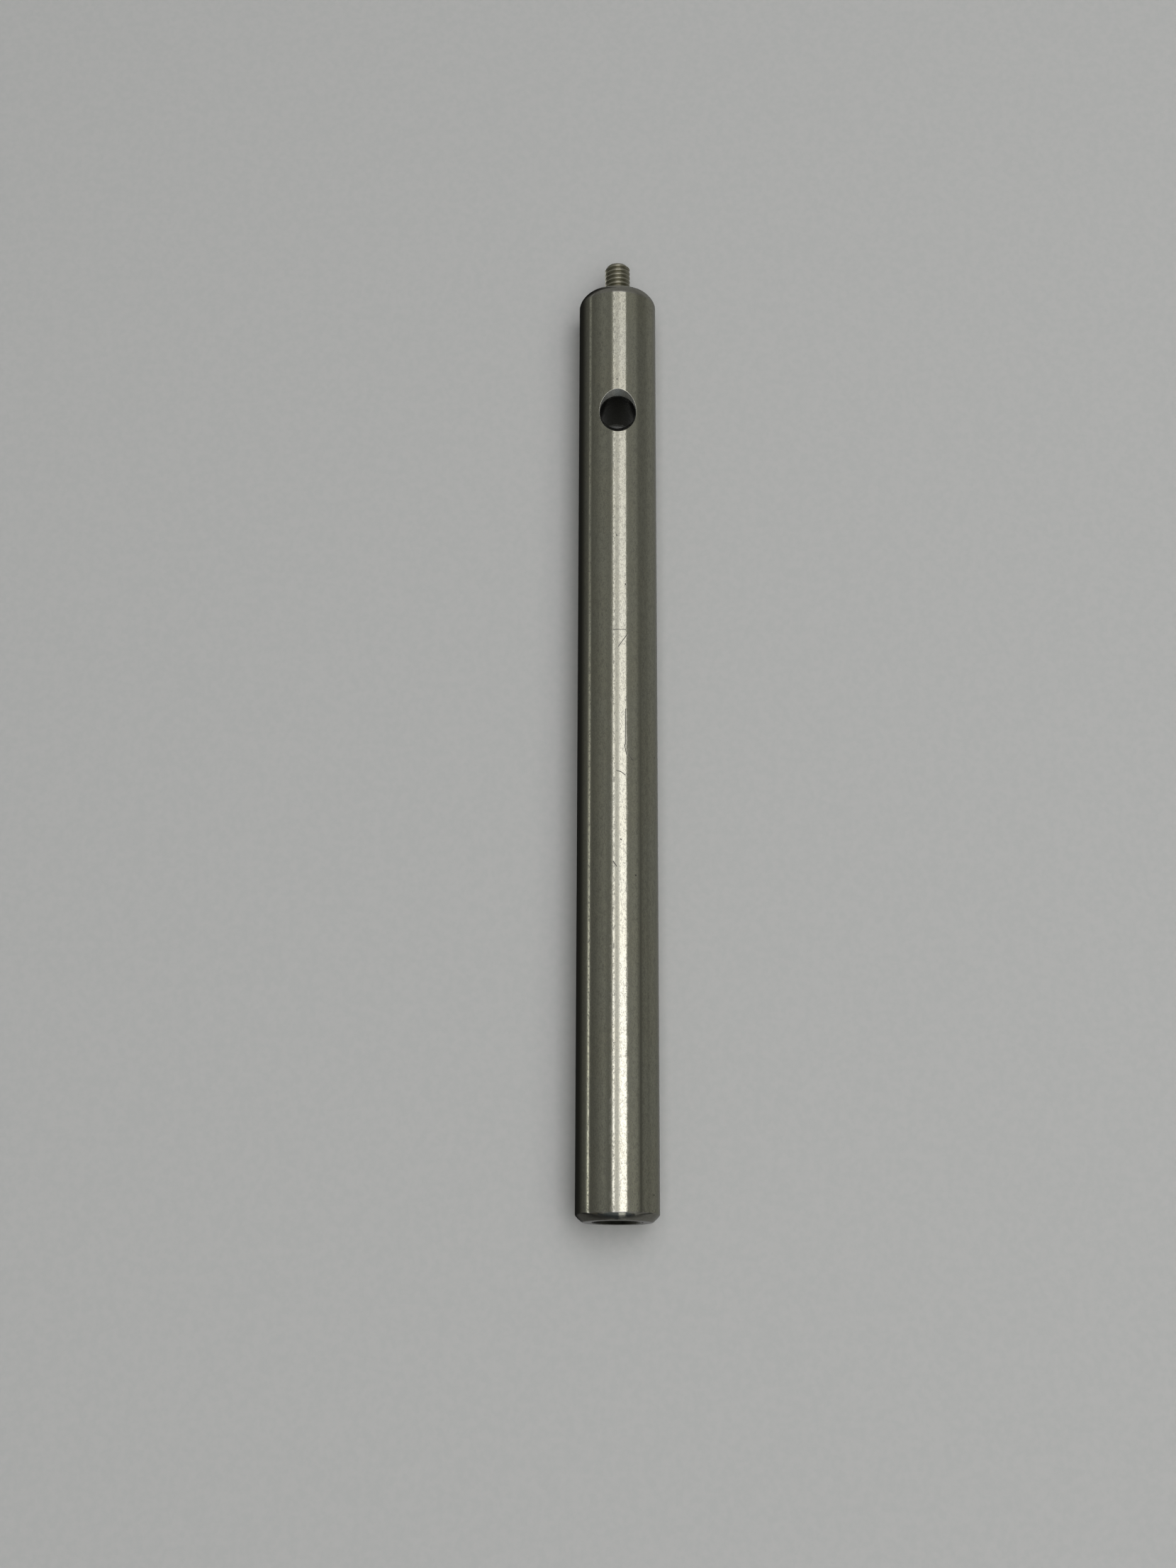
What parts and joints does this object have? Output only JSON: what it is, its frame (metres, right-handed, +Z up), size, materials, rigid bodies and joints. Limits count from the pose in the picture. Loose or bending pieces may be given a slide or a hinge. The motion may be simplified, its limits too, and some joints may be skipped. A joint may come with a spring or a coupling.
{
  "type": "optical post",
  "caption": "Round steel post with a countersunk cross hole, a tapped hole in its lower end, and a headless set screw standing out of its upper end.",
  "frame": {"origin": "centre of the lower end face, on the post's axis", "axes": "+Z up the post's axis towards the set screw, Y along the cross hole, X to the side"},
  "size_m": [0.0126, 0.0126, 0.1587],
  "materials": {
    "post_steel": "ground stainless steel, handled, with fine marks and scratches along the bar",
    "screw_steel": "plain machined stainless steel"
  },
  "bodies": {
    "root": {"post_body": "post_steel", "set_screw": "screw_steel"}
  },
  "joints": []
}
